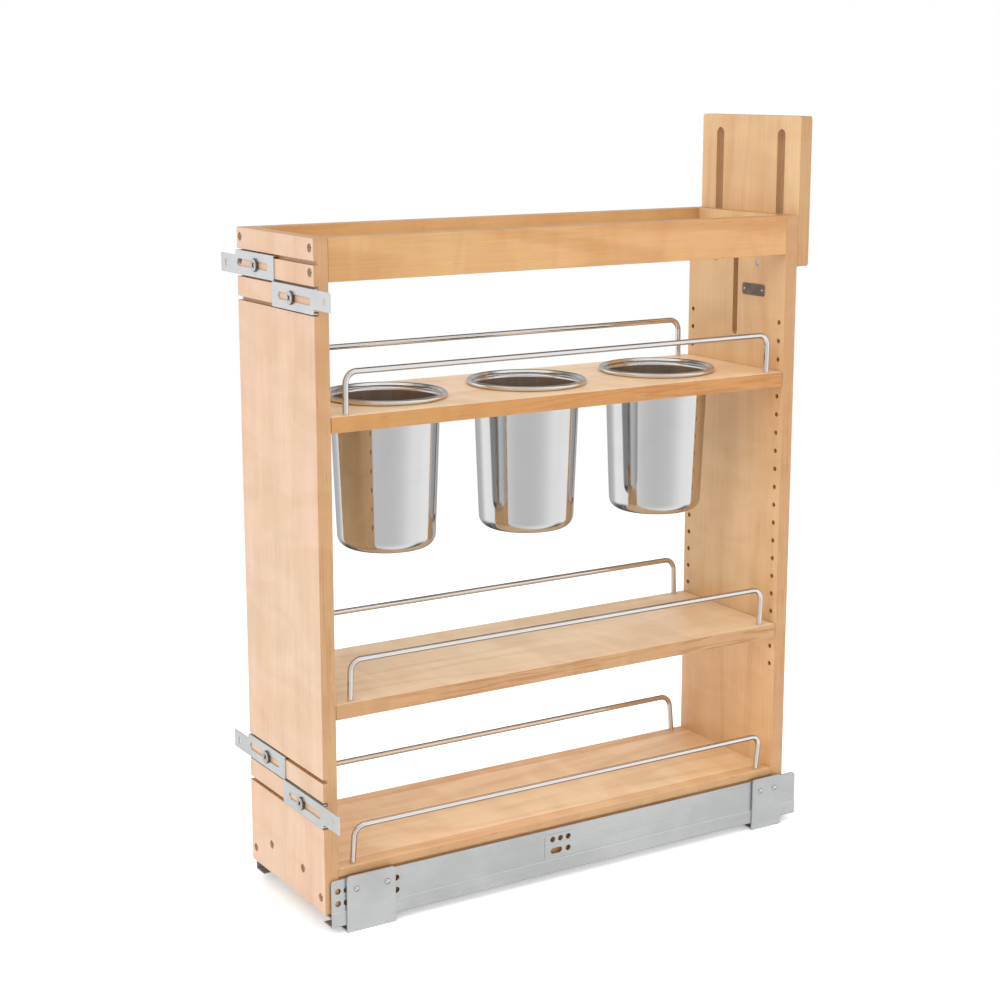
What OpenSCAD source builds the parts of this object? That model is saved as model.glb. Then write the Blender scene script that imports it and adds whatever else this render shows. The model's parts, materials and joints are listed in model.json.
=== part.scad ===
// Base cabinet pull-out organiser: two wooden end panels carry a utensil shelf with three
// lift-out steel bins, a middle shelf and a bottom shelf, all on soft-close floor slides.
// +Z is up, the door side faces -Y, X runs across the width. The origin lies on the cabinet
// floor, at the middle of the object's width and depth.

/* [Carcass] */
// Width of the two end panels
panel_w = 164; // [160:1:200]
// Height of the end panels
panel_h = 642; // [636:1:660]
// Thickness of the end panels, tray rails and shelves
board_t = 15; // [14:0.5:15]
// Clear distance between the end panels
inner_d = 528.5; // [528:0.5:540]
// Height of the wooden carcass above the cabinet floor
floor_gap = 21; // [20.5:0.5:24]
// Height of the two long rails that close the top tray
tray_rail_h = 40; // [36:1:44]

/* [Shelves] */
// Height of the lowest shelf pin hole above the foot of the panels
pin_base = 160; // [158:0.5:162]
// Distance between two shelf pin holes
pin_pitch = 19.5; // [19:0.1:20]
// Number of shelf pin holes in a column
pin_count = 20; // [20:1:21]
// Pin hole that carries the utensil shelf, counted from the lowest
utensil_row = 16; // [15:1:16]
// Pin hole that carries the middle shelf, counted from the lowest
mid_row = 2; // [1:1:3]
// Distance of the pin columns from the middle of the panel
pin_x = 73.5; // [70:0.5:74]
// Radius of a shelf pin
pin_r = 2.5; // [2:0.1:3]
// Thickness of the bottom shelf
bottom_t = 8; // [6:0.5:8]
// Height of the bottom shelf's underside above the foot of the panels
bottom_z = 35.5; // [35.5:0.5:38]

/* [Bins] */
// Distance between two utensil bins
bin_pitch = 162.5; // [150:0.5:165]
// Outer radius of a bin under its rim
bin_top_r = 53.8; // [53:0.2:56]
// Outer radius of a bin at its foot
bin_foot_r = 48.6; // [47:0.2:52]
// Depth of a bin below the top of the utensil shelf
bin_depth = 147.5; // [120:0.5:150]
// Wall thickness of a bin
bin_wall = 1.2; // [0.8:0.1:1.5]
// Radius of the bin's rounded foot
bin_foot_round = 12; // [6:1:16]

/* [Wire rails] */
// Radius of the rail wire
wire_r = 2.75; // [2:0.25:3]
// Height of the rail above its shelf, to the middle of the wire
rail_h = 40; // [30:1:44]
// Radius of the rail's bends, to the middle of the wire
rail_bend = 11; // [8:1:14]
// Distance of the rail feet from the middle of the shelf
rail_x = 76; // [74:0.5:77]
// Depth of the rail feet in the shelf
rail_sink = 6; // [4:0.5:6]

/* [Slides] */
// Thickness of the slide's sheet steel
steel_t = 1.2; // [1:0.1:1.4]
// Length of the slides
slide_l = 569.7; // [565:0.1:575]
// Height of the slide's outer wall
slide_h = 47.5; // [44:0.5:48]
// Depth of the slide below the foot of the panels
slide_drop = 13.8; // [13.6:0.1:14]
// Gap between the carcass and the slide's outer wall
slide_gap = 1.4; // [1.2:0.1:2]
// Radius of the round holes in the slide
slide_hole_r = 3; // [2:0.25:3]

/* [Floor brackets] */
// Thickness of the bracket steel
bracket_t = 2; // [1.5:0.1:2.5]
// Length of the front brackets
front_bracket_l = 52.7; // [48:0.1:54]
// Length of the rear brackets
rear_bracket_l = 39.5; // [36:0.1:40]
// Reach of the bracket foot under the slide
bracket_reach = 61.4; // [56:0.2:62]
// Radius of the floor screw holes
floor_hole_r = 2.75; // [2:0.25:3]

/* [Door clips] */
// Height of a clip's body
clip_h = 23.2; // [22:0.1:23.2]
// Length of a clip's body
clip_body_l = 84; // [82:1:88]
// Length of the tab beyond the body
clip_tab_l = 34; // [30:1:36]
// Height of the tab
clip_tab_h = 18; // [14:0.5:19]
// Thickness of the clip steel
clip_t = 1.5; // [1.2:0.1:1.6]
// Height of a groove in the front panel
groove_h = 4; // [4:0.1:5]
// Depth of a groove in the front panel
groove_d = 5; // [5:0.5:7]
// Distance between two grooves
groove_pitch = 22.8; // [22.6:0.1:23]

/* [Height board] */
// Height of the board behind the rear panel
lift_board_h = 154; // [150:1:160]
// Height of the board's lower edge above the foot of the panels
lift_board_z = 588.8; // [588.8:0.1:594]
// Width of the two guide slots
guide_slot_w = 12; // [10:0.5:13]
// Distance of the guide slots from the middle
guide_slot_x = 51; // [48:0.5:54]

/* [Hidden] */

$fn = 48;
eps = 0.01;

maple = "#E2BC90";
maple_edge = "#D9AC78";
galvanised = "#C3C5C4";
stainless = "#D5D6D8";
chrome = "#DADADC";
nylon = "#ECEAE4";
dark_plastic = "#4A4C4F";

half_w = panel_w / 2;
rear_in = board_t + inner_d;
rear_out = rear_in + board_t;
front_proud = 4;
rear_proud = 577.3;
front_y = -(rear_proud - front_proud) / 2;

// Shelves, above the foot of the panels
shelf_over_pin = 7.2;
utensil_pin_z = pin_base + utensil_row * pin_pitch;
mid_pin_z = pin_base + mid_row * pin_pitch;
utensil_top = utensil_pin_z + shelf_over_pin;
mid_top = mid_pin_z + shelf_over_pin;
bottom_top = bottom_z + bottom_t;
shelf_play = 0.4;
shelf_l = inner_d - 2 * shelf_play;
pin_sink = 8;
pin_reach = 9;
pin_play = 0.3;
pin_hole_depth = 8;

// Bins
bin_ys = [board_t + 100, board_t + 100 + bin_pitch, board_t + 100 + 2 * bin_pitch];
bin_hole_r = bin_top_r + 1.8;
bead_r = 2.6;
bead_x = bin_top_r + 4.6;

// Wire rails: how far each pair leans outwards, in degrees
utensil_lean = 1.5;
mid_lean = 3;
bottom_lean = 8;
rail_front_y = board_t + 18;
rail_rear_y = rear_in - 18;

// Slides
web_in = half_w + slide_gap;
web_out = web_in + steel_t;
foot_step = 0.8;
foot_out = web_out + foot_step;
foot_top = 1.5;
slide_front = 5.3;
slide_top = slide_h - slide_drop;
flange_in = 67.5;
track_in = 44;
track_front = 20;
track_lip_h = 8.8;
track_floor = -slide_drop + steel_t;
lip_band = 4.2;
lip_step = 0.4;
web_corner = 4;
front_cols = [12.4, 21.4, 76];
hole_rows = [22.2, 9.6];
mid_cols = [256.6, 266, 275.4];
pad_y = 247;
pad_l = 37;
pad_t = 0.5;

// Middle rail and runner, in the plane across the slide
mid_x0 = 47;
mid_x1 = 65;
mid_floor = -7.4;
mid_wall_top = 4;
mid_front = 18;
mid_rear = 560;
roller_r = 2.2;
roller_l = 12;
cage_t = 0.8;
run_x = 56;
run_foot_w = 12;
run_head_w = 20;
run_front = 36;
run_rear = 522;
run_foot = -1.2;
runner_screw_x = run_x - 6.5;
runner_screw_ys = [70, 210, 350, 490];

// Soft-close dampers
damper_y = 340;
damper_l = 118;
damper_w = 13;
damper_x = track_in - damper_w / 2 - 0.5;
damper_z = -6.5;
damper_rod_l = 34;

// Cleats under the bottom shelf
cleat_x0 = 66;
cleat_w = 14;
cross_half = 45;
cross_d = 18;
cross_h = 12.5;

// Screws
screw_r = 2;
screw_head_r = 4.2;
screw_head_h = 2.5;
screw_recess = 1.5;
screw_l = 42;
tray_screw_zs = [panel_h - 9, panel_h - 31];
tray_screw_x = half_w - board_t / 2;
cleat_screw_z = 15;
cleat_screw_x = cleat_x0 + cleat_w / 2;
cross_screw_z = 31;
cross_screw_x = 35;
cross_screw_l = 28;
// Each panel screw: distance from the middle, height, length
panel_screws = concat(
  [for (s = [-1, 1], z = tray_screw_zs) [s * tray_screw_x, z, screw_l]],
  [for (s = [-1, 1]) [s * cleat_screw_x, cleat_screw_z, screw_l]],
  [for (s = [-1, 1]) [s * cross_screw_x, cross_screw_z, cross_screw_l]]
);

// Floor brackets
bracket_x = foot_out;
bracket_top = 36.1;
bracket_corner = 4;
front_bracket_y = 20.8;
rear_bracket_y = 514.1;
rivet_z = 22.2;
front_rivets = [31, 64.5];
rear_rivets = [524.7, 543.7];
rivet_r = 2.5;
rivet_head_r = 3.1;
rivet_head_h = 1.8;
floor_hole_x = 36;
front_floor_pitch = 30;
rear_floor_pitch = 20;
relief_r = 1.5;
relief_at = [0.18, 0.81];

// Door clips
upper_groove = 597;
lower_groove = 110.6;
clip_share = 0.2;
clip_inner = -2;
clip_play = 0.1;
flange_t = 1.2;
flange_l = 4.7;
cam_t = 40;
cam_x = cam_t + clip_inner;
cam_r = 3;
cam_head_r = 6.4;
cam_head_t = 2.2;
cam_gap = 0.2;
cam_depth = 11;
slot_t0 = 12.5;
slot_t1 = 80.5;
slot_r = 3.5;
door_slot_t = 106.5;
door_slot_w = 3.6;
door_slot_h = 7.2;
clip_zs = [
  upper_groove + clip_h / 2 + clip_share, upper_groove - clip_h / 2 - clip_share,
  lower_groove + clip_h / 2 + clip_share, lower_groove - clip_h / 2 - clip_share
];

// Height board and its bolts
board_gap = 0.2;
lift_y = rear_out + board_gap;
lift_end = 14;
guide_z = 625;
guide_r = 3;
guide_bush_r = guide_slot_w / 2 - 0.4;
clamp_z = 608.5;
clamp_r = 3.8;
panel_slot_w = 8;
panel_slot_z0 = 510.5;
panel_slot_z1 = 612.5;
washer_t = 1.2;
nut_h = 2.4;
stop_x = 35.6;
stop_z = 590;
plate_c = [30.8, 561.5];
plate_size = [37, 12.5];
plate_t = 0.8;
notch_x0 = 26;
notch_h = 8;

// ---------------------------------------------------------------- helpers

// Carcass frame: Y from the outer face of the front panel, Z from the foot of the panels
module carcass() {
  translate([0, front_y, floor_gap]) children();
}

// Mirrors a piece drawn on the right side to the side asked for
module side(s) {
  if (s < 0) mirror([1, 0, 0]) children();
  else children();
}

// Flat outline with round corners
module rounded(size, r) {
  translate([r, 0]) square([size[0] - 2 * r, size[1]]);
  translate([0, r]) square([size[0], size[1] - 2 * r]);
  for (x = [r, size[0] - r], y = [r, size[1] - r]) translate([x, y]) circle(r = r);
}

// Slot outline between two centres along the first axis
module slot2d(x0, x1, r) {
  translate([x0, -r]) square([x1 - x0, 2 * r]);
  for (x = [x0, x1]) translate([x, 0]) circle(r = r);
}

// Plate that stands in the YZ plane: outline in (Y, Z), thickness along +X
module yz_plate(x, t) {
  translate([x, 0, 0]) rotate([90, 0, 90]) linear_extrude(t) children();
}

// Plate that stands in the XZ plane: outline in (X, Z), thickness along +Y
module xz_plate(y, t) {
  translate([0, y + t, 0]) rotate([90, 0, 0]) linear_extrude(t) children();
}

// Round bar along Y
module bar_y(x, z, y0, y1, r) {
  translate([x, y0, z]) rotate([-90, 0, 0]) cylinder(h = y1 - y0, r = r);
}

// Round bar along X
module bar_x(y, z, x0, x1, r) {
  translate([x0, y, z]) rotate([0, 90, 0]) cylinder(h = x1 - x0, r = r);
}

// Low dome on a plane, grown along +Z
module dome(r, h) {
  ball = (r * r + h * h) / (2 * h);
  intersection() {
    translate([0, 0, h - ball]) sphere(r = ball);
    cylinder(h = h, r = r + eps);
  }
}

function arc(cx, cy, r, a0, a1, n) =
  [for (i = [0:n]) let (a = a0 + (a1 - a0) * i / n) [cx + r * cos(a), cy + r * sin(a)]];

// ---------------------------------------------------------------- screws

// Wood screw along +Y from an outer face at Y = 0; its head lies in a shallow recess
module screw_body(l) {
  translate([0, screw_recess, 0]) rotate([-90, 0, 0]) {
    cylinder(h = screw_head_h, r1 = screw_head_r, r2 = screw_r);
    cylinder(h = l, r = screw_r);
  }
}

module screw_hole(l) {
  screw_body(l);
  translate([0, -1, 0]) rotate([-90, 0, 0]) cylinder(h = screw_recess + 1, r = screw_head_r);
}

module wood_screw(l) {
  difference() {
    screw_body(l);
    for (a = [0, 90]) translate([0, screw_recess - eps, 0]) rotate([0, a, 0])
      translate([-2.4, 0, -0.5]) cube([4.8, 1.1, 1]);
  }
}

// Places children on the outer face of the front panel (end = 1) or the rear panel (end = -1)
module on_end(end, x, z) {
  if (end > 0) translate([x, 0, z]) children();
  else translate([x, rear_out, z]) mirror([0, 1, 0]) children();
}

module panel_screw_holes(end) {
  for (p = panel_screws) on_end(end, p[0], p[1]) screw_hole(p[2]);
}

// ---------------------------------------------------------------- carcass

// Both columns of blind pin holes in a panel, opened towards the shelves
module pin_holes(y0, y1) {
  for (s = [-1, 1], i = [0:pin_count - 1]) bar_y(s * pin_x, pin_base + i * pin_pitch, y0, y1, pin_r);
}

module front_panel() {
  color(maple) carcass() difference() {
    translate([-half_w, 0, 0]) cube([panel_w, board_t, panel_h]);
    for (g = [upper_groove, lower_groove], i = [-1:1])
      translate([-half_w - 1, -1, g + i * groove_pitch - groove_h / 2])
        cube([panel_w + 2, groove_d + 1, groove_h]);
    panel_screw_holes(1);
    pin_holes(board_t - pin_hole_depth, board_t + 1);
    for (i = [0:3]) bar_y((i % 2 == 0 ? -1 : 1) * cam_x, clip_zs[i], -1, cam_depth, cam_r);
  }
}

module rear_panel() {
  color(maple) carcass() difference() {
    translate([-half_w, rear_in, 0]) cube([panel_w, board_t, panel_h]);
    panel_screw_holes(-1);
    pin_holes(rear_in - 1, rear_in + pin_hole_depth);
    // tunnels over the slides
    for (s = [-1, 1]) side(s) translate([notch_x0, rear_in - 1, -1])
      cube([cleat_x0 + 1.5 - notch_x0, board_t + 2, notch_h + 1]);
    // slot of the clamp bolt
    xz_plate(rear_in - 1, board_t + 2) rotate(90)
      slot2d(panel_slot_z0 + panel_slot_w / 2, panel_slot_z1 - panel_slot_w / 2, panel_slot_w / 2);
    for (s = [-1, 1]) {
      bar_y(s * guide_slot_x, guide_z, rear_in - 1, rear_out + 1, guide_r);
      bar_y(s * stop_x, stop_z, rear_in - 1, rear_in + 10, 1.5);
      bar_y(plate_c[0] + s * 14.5, plate_c[1], rear_in - 1, rear_in + 4, 0.8);
    }
  }
}

module tray_rail(s) {
  color(maple_edge) carcass() side(s) difference() {
    translate([half_w - board_t, board_t, panel_h - tray_rail_h])
      cube([board_t, inner_d, tray_rail_h]);
    for (z = tray_screw_zs, end = [1, -1]) on_end(end, tray_screw_x, z) screw_body(screw_l);
  }
}

module side_cleat(s) {
  color(maple_edge) carcass() side(s) difference() {
    translate([cleat_x0, board_t, 0]) cube([cleat_w, inner_d, bottom_z]);
    for (end = [1, -1]) on_end(end, cleat_screw_x, cleat_screw_z) screw_body(screw_l);
  }
}

module cross_cleat(end) {
  y0 = end > 0 ? board_t : rear_in - cross_d;
  color(maple_edge) carcass() difference() {
    translate([-cross_half, y0, bottom_z - cross_h]) cube([2 * cross_half, cross_d, cross_h]);
    for (s = [-1, 1]) on_end(end, s * cross_screw_x, cross_screw_z) screw_body(cross_screw_l);
  }
}

module bottom_shelf() {
  color(maple) carcass() difference() {
    translate([-half_w, board_t, bottom_z]) cube([panel_w, inner_d, bottom_t]);
    for (s = [-1, 1]) {
      rail_feet(s, bottom_top, bottom_lean);
      side(s) for (y = runner_screw_ys) translate([runner_screw_x, y, bottom_z - 1])
        cylinder(h = 6, r = 1.5);
    }
  }
}

module end_screws(end) {
  color(galvanised) carcass() for (p = panel_screws) on_end(end, p[0], p[1]) wood_screw(p[2]);
}

// Release lever block that ties the runner to the carcass
module lock(s) {
  color(dark_plastic) carcass() side(s) {
    translate([29, board_t, 11]) cube([16, 26, 12]);
    translate([31, board_t + 26, 13]) cube([12, 16, 6]);
    translate([25, board_t + 6, 12]) cube([4, 12, 8]);
  }
}

// ---------------------------------------------------------------- shelves and pins

module shelf_pins(z) {
  color(galvanised) carcass() for (s = [-1, 1]) {
    bar_y(s * pin_x, z, board_t - pin_sink, board_t + pin_reach, pin_r);
    bar_y(s * pin_x, z, rear_in - pin_reach, rear_in + pin_sink, pin_r);
  }
}

// Blind slots in the shelf's ends, open downwards, that drop over the pins
module pin_slots(z) {
  reach = pin_reach + 1;
  for (s = [-1, 1], y = [board_t, rear_in - reach]) translate([s * pin_x, y - 0.5, 0]) {
    translate([-pin_r - pin_play, 0, z - board_t]) cube([2 * (pin_r + pin_play), reach + 1, board_t]);
    translate([0, 0, z]) rotate([-90, 0, 0]) cylinder(h = reach + 1, r = pin_r + pin_play);
  }
}

module shelf_board(top, pin_z, lean) {
  difference() {
    translate([-half_w, board_t + shelf_play, top - board_t]) cube([panel_w, shelf_l, board_t]);
    pin_slots(pin_z);
    for (s = [-1, 1]) rail_feet(s, top, lean);
    children();
  }
}

module utensil_shelf() {
  color(maple) carcass() shelf_board(utensil_top, utensil_pin_z, utensil_lean)
    for (y = bin_ys) translate([0, y, utensil_top - board_t - 1])
      cylinder(h = board_t + 2, r = bin_hole_r, $fn = 96);
}

module mid_shelf() {
  color(maple) carcass() shelf_board(mid_top, mid_pin_z, mid_lean);
}

// ---------------------------------------------------------------- wire rails

// Frame of a rail: foot line at the origin, leaning outwards
module rail_frame(s, top, lean) {
  side(s) translate([rail_x, 0, top]) rotate([0, lean, 0]) children();
}

module rail_feet(s, top, lean) {
  rail_frame(s, top, lean) for (y = [rail_front_y, rail_rear_y])
    translate([0, y, -rail_sink]) cylinder(h = rail_sink + 3, r = wire_r, $fn = 24);
}

module wire_rail(s, top, lean) {
  $fn = 24;
  leg = rail_h - rail_bend;
  color(chrome) carcass() rail_frame(s, top, lean) {
    for (y = [rail_front_y, rail_rear_y])
      translate([0, y, -rail_sink]) cylinder(h = rail_sink + leg, r = wire_r);
    for (e = [0, 1]) translate([0, e == 0 ? rail_front_y : rail_rear_y, 0]) mirror([0, e, 0])
      translate([0, rail_bend, leg]) rotate([90, 0, -90])
        rotate_extrude(angle = 90) translate([rail_bend, 0]) circle(r = wire_r);
    translate([0, rail_front_y + rail_bend, rail_h]) rotate([-90, 0, 0])
      cylinder(h = rail_rear_y - rail_front_y - 2 * rail_bend, r = wire_r);
  }
}

// ---------------------------------------------------------------- bins

module bin_profile() {
  rc = bin_foot_round;
  wall_top = bin_depth - 1;
  cx = bin_foot_r - rc;
  polygon(concat(
    [[0, 0]], arc(cx, rc, rc, -90, 0, 8), [[bin_top_r, wall_top]],
    [[bin_top_r - bin_wall, wall_top]], arc(cx, rc, rc - bin_wall, 0, -90, 8), [[0, bin_wall]]
  ));
  // flared lip
  polygon([
    [bin_top_r - bin_wall, wall_top], [bin_top_r, wall_top], [bin_top_r + 1.4, wall_top + 2.2],
    [bead_x, bin_depth + 3.2], [bead_x, bin_depth + 4.6], [bin_top_r + 0.7, bin_depth + 2.9],
    [bin_top_r - bin_wall + 0.3, wall_top + 1.9]
  ]);
  // rolled bead
  translate([bead_x, bin_depth + bead_r]) circle(r = bead_r, $fn = 24);
}

module bin(y) {
  color(stainless) carcass() translate([0, y, utensil_top - bin_depth])
    rotate_extrude($fn = 96) bin_profile();
}

// ---------------------------------------------------------------- slides

// Outer wall of the slide, seen from the side
module web_outline(z0) {
  translate([slide_front, z0]) difference() {
    square([slide_l, slide_top - z0]);
    for (e = [0, 1]) translate([e == 0 ? 0 : slide_l, slide_top - z0]) mirror([e, 0])
      difference() {
        translate([-1, -web_corner]) square([web_corner + 1, web_corner + 1]);
        translate([web_corner, -web_corner]) circle(r = web_corner);
      }
  }
}

module web_holes() {
  for (y = front_cols, z = hole_rows) translate([y, z]) circle(r = slide_hole_r);
  for (y = concat(front_rivets, rear_rivets)) translate([y, rivet_z]) circle(r = rivet_r);
  for (y = mid_cols) translate([y, 22.7]) circle(r = slide_hole_r);
  translate([mid_cols[2], 10.3]) circle(r = slide_hole_r);
  translate([0, 10.3]) slot2d(mid_cols[0] + 0.5, mid_cols[1] - 1, slide_hole_r);
}

module slide_profile(s) {
  color(galvanised) carcass() side(s) {
    // wall, its rolled top band and the pressed pad round the middle holes
    yz_plate(web_in, steel_t) difference() {
      web_outline(foot_top - steel_t);
      web_holes();
    }
    yz_plate(web_in - lip_step, lip_step + eps) intersection() {
      web_outline(foot_top - steel_t);
      translate([0, slide_top - lip_band]) square([600, lip_band]);
    }
    yz_plate(web_out - eps, pad_t + eps) difference() {
      translate([pad_y, foot_top]) rounded([pad_l, slide_top - lip_band - foot_top - 1], 4);
      web_holes();
    }
    // stepped foot of the wall and the floor flange
    translate([web_in, slide_front, foot_top - steel_t]) cube([steel_t + foot_step, slide_l, steel_t]);
    translate([web_out + foot_step - steel_t, slide_front, -slide_drop])
      cube([steel_t, slide_l, slide_drop + foot_top]);
    translate([flange_in, slide_front, -slide_drop])
      cube([foot_out - flange_in, slide_l, steel_t]);
    // inner track
    translate([track_in, track_front, -slide_drop])
      cube([flange_in - track_in + eps, slide_l - track_front + slide_front, steel_t]);
    translate([track_in, track_front, -slide_drop])
      cube([steel_t, slide_l - track_front + slide_front, track_lip_h]);
  }
}

// Outline of a bracket plate with its two relief notches
module bracket_outline(y0, l) {
  difference() {
    translate([y0, -floor_gap]) {
      rounded([l, bracket_top + floor_gap], bracket_corner);
      square([l, bracket_corner]);
    }
    for (e = relief_at) translate([y0 + l * e, -floor_gap]) circle(r = relief_r);
  }
}

module floor_bracket(s, y0, l, rivets, pitch) {
  color(galvanised) carcass() side(s) {
    yz_plate(bracket_x, bracket_t) difference() {
      bracket_outline(y0, l);
      for (y = rivets) translate([y, rivet_z]) circle(r = rivet_r);
    }
    foot_x = bracket_x + bracket_t - bracket_reach;
    difference() {
      translate([foot_x, y0, -floor_gap]) cube([bracket_reach - bracket_t + eps, l, bracket_t]);
      for (e = [-1, 1]) translate([floor_hole_x, y0 + l / 2 + e * pitch / 2, -floor_gap - 1])
        cylinder(h = bracket_t + 2, r = floor_hole_r);
      for (e = relief_at) bar_x(y0 + l * e, -floor_gap, bracket_x - 3, bracket_x + 1, relief_r);
    }
  }
}

module bracket_rivets() {
  color(stainless) carcass() for (s = [-1, 1]) side(s) for (y = concat(front_rivets, rear_rivets)) {
    bar_x(y, rivet_z, web_in, bracket_x + bracket_t, rivet_r);
    translate([bracket_x + bracket_t, y, rivet_z]) rotate([0, 90, 0]) dome(rivet_head_r, rivet_head_h);
  }
}

// Soft-close damper clipped to the inner lip of the track
module damper(s) {
  color(dark_plastic) carcass() side(s) {
    for (y = [damper_y, damper_y + damper_l])
      translate([track_in - damper_w, y, damper_z - damper_w / 2 + 1]) cube([damper_w, 12, damper_w - 2]);
    bar_y(damper_x, damper_z, damper_y + 12, damper_y + damper_l, 5);
    bar_y(damper_x, damper_z, damper_y - damper_rod_l, damper_y, 1.5);
    bar_y(damper_x, damper_z, damper_y - damper_rod_l - 4, damper_y - damper_rod_l, 3.5);
  }
}

module middle_rail(s) {
  l = mid_rear - mid_front;
  color(galvanised) carcass() side(s) {
    translate([mid_x0, mid_front, mid_floor]) cube([mid_x1 - mid_x0, l, steel_t]);
    for (x = [mid_x0, mid_x1 - steel_t]) translate([x, mid_front, mid_floor])
      cube([steel_t, l, mid_wall_top - mid_floor]);
  }
}

// Nylon roller strips, one under the middle rail's rear half and one on its front half
module rollers(s) {
  x0 = run_x - roller_l / 2;
  color(nylon) carcass() side(s) {
    translate([x0 - 1, 286, mid_floor - cage_t]) cube([roller_l + 2, 264, cage_t]);
    for (i = [0:5]) bar_x(292 + i * 50.4, mid_floor - 0.4 - roller_r, x0, x0 + roller_l, roller_r);
    translate([x0 - 1, 40, mid_floor + steel_t]) cube([roller_l + 2, 216, cage_t]);
    for (i = [0:4]) bar_x(46 + i * 51, mid_floor + steel_t + 0.2 + roller_r, x0, x0 + roller_l, roller_r);
  }
}

module runner(s) {
  l = run_rear - run_front;
  color(galvanised) carcass() side(s) difference() {
    union() {
      translate([run_x - run_foot_w / 2, run_front, run_foot]) cube([run_foot_w, l, steel_t]);
      translate([run_x - steel_t / 2, run_front, run_foot]) cube([steel_t, l, bottom_z - run_foot]);
      translate([run_x - run_head_w / 2, run_front, bottom_z - steel_t])
        cube([run_head_w, l, steel_t]);
    }
    for (y = runner_screw_ys) translate([runner_screw_x, y, bottom_z - steel_t - 1])
      cylinder(h = steel_t + 2, r = 1.5);
  }
}

module runner_screws() {
  color(galvanised) carcass() for (s = [-1, 1]) side(s) for (y = runner_screw_ys)
    translate([runner_screw_x, y, 0]) {
      translate([0, 0, bottom_z - steel_t - 1.6]) cylinder(h = 1.6, r = 2.9);
      translate([0, 0, bottom_z - steel_t]) cylinder(h = 5 + steel_t, r = 1.5);
    }
}

// ---------------------------------------------------------------- door clips

// Clip for the right side. Its body hooks into two grooves, its tab passes the panel's edge.
module clip_shape() {
  y0 = -clip_play - clip_t;
  difference() {
    union() {
      xz_plate(y0, clip_t) {
        translate([0, -clip_h / 2]) rounded([clip_body_l, clip_h], 1.2);
        translate([clip_body_l - 4, clip_h / 2 - clip_tab_h]) rounded([clip_tab_l + 4, clip_tab_h], 1.2);
      }
      for (z = [-clip_h / 2, clip_h / 2 - flange_t]) translate([1.2, y0, z])
        cube([clip_body_l - 2.4, clip_t + flange_l, flange_t]);
    }
    xz_plate(y0 - 1, clip_t + 2) slot2d(slot_t0 + slot_r, slot_t1 - slot_r, slot_r);
    xz_plate(y0 - 1, clip_t + 2) translate([door_slot_t, clip_h / 2 - clip_tab_h / 2]) rotate(90)
      slot2d(-(door_slot_h - door_slot_w) / 2, (door_slot_h - door_slot_w) / 2, door_slot_w / 2);
  }
}

// The left clip is the right clip turned half a turn about Y
module clip(i) {
  left = i % 2 == 0;
  color(galvanised) carcass() translate([left ? -clip_inner : clip_inner, 0, clip_zs[i]])
    rotate([0, left ? 180 : 0, 0]) clip_shape();
}

// Flat-headed cam screws that clamp the clips through their slots
module clip_cams() {
  head_y = -clip_play - clip_t - cam_gap - cam_head_t;
  color(stainless) carcass() for (i = [0:3])
    translate([(i % 2 == 0 ? -1 : 1) * cam_x, 0, clip_zs[i]]) difference() {
      union() {
        bar_y(0, 0, head_y, head_y + cam_head_t, cam_head_r);
        bar_y(0, 0, head_y, cam_depth, cam_r);
      }
      for (a = [45, 135]) translate([0, head_y - eps, 0]) rotate([0, a, 0])
        translate([-3, 0, -0.7]) cube([6, 1.2, 1.4]);
    }
}

// ---------------------------------------------------------------- rear board and trim

module height_board() {
  color(maple) carcass() difference() {
    xz_plate(lift_y, board_t) translate([-half_w, lift_board_z]) rounded([panel_w, lift_board_h], 3);
    for (s = [-1, 1]) xz_plate(lift_y - 1, board_t + 2) translate([s * guide_slot_x, 0]) rotate(90)
      slot2d(
        lift_board_z + lift_end + guide_slot_w / 2,
        lift_board_z + lift_board_h - lift_end - guide_slot_w / 2, guide_slot_w / 2
      );
    bar_y(0, clamp_z, lift_y - 1, lift_y + board_t + 1, clamp_r);
  }
}

// Clamp bolt of the height board: it runs in the rear panel's slot
module clamp_bolt() {
  color(galvanised) carcass() {
    bar_y(0, clamp_z, rear_in - board_gap - washer_t, rear_in - board_gap, 8);
    translate([0, rear_in - board_gap - washer_t, clamp_z]) rotate([90, 0, 0]) dome(6, 2.6);
    bar_y(0, clamp_z, rear_in - board_gap, lift_y + board_t, clamp_r);
    bar_y(0, clamp_z, lift_y + board_t, lift_y + board_t + washer_t, 9);
    translate([0, lift_y + board_t + washer_t, clamp_z]) rotate([-90, 0, 0])
      cylinder(h = nut_h, r = 6.5, $fn = 6);
  }
}

module guide_bolts() {
  far = lift_y + board_t + board_gap;
  color(galvanised) carcass() {
    for (s = [-1, 1]) translate([s * guide_slot_x, 0, 0]) {
      translate([0, rear_in, guide_z]) rotate([90, 0, 0]) dome(5.5, 2.5);
      bar_y(0, guide_z, rear_in, rear_out, guide_r);
      bar_y(0, guide_z, rear_out, far, guide_bush_r);
      bar_y(0, guide_z, far, far + washer_t, 9);
      translate([0, far + washer_t, guide_z]) rotate([-90, 0, 0])
        cylinder(h = nut_h - board_gap, r = 6.5, $fn = 6);
    }
    for (s = [-1, 1]) translate([s * stop_x, 0, 0]) {
      translate([0, rear_in, stop_z]) rotate([90, 0, 0]) dome(3.2, 1.6);
      bar_y(0, stop_z, rear_in, rear_in + 10, 1.5);
    }
  }
}

module name_plate() {
  color("#5B534C") carcass() difference() {
    xz_plate(rear_in - plate_t, plate_t)
      translate([plate_c[0] - plate_size[0] / 2, plate_c[1] - plate_size[1] / 2])
        rounded(plate_size, 3);
    for (s = [-1, 1]) bar_y(plate_c[0] + s * 14.5, plate_c[1], rear_in - 2, rear_in + 1, 0.8);
  }
}

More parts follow.
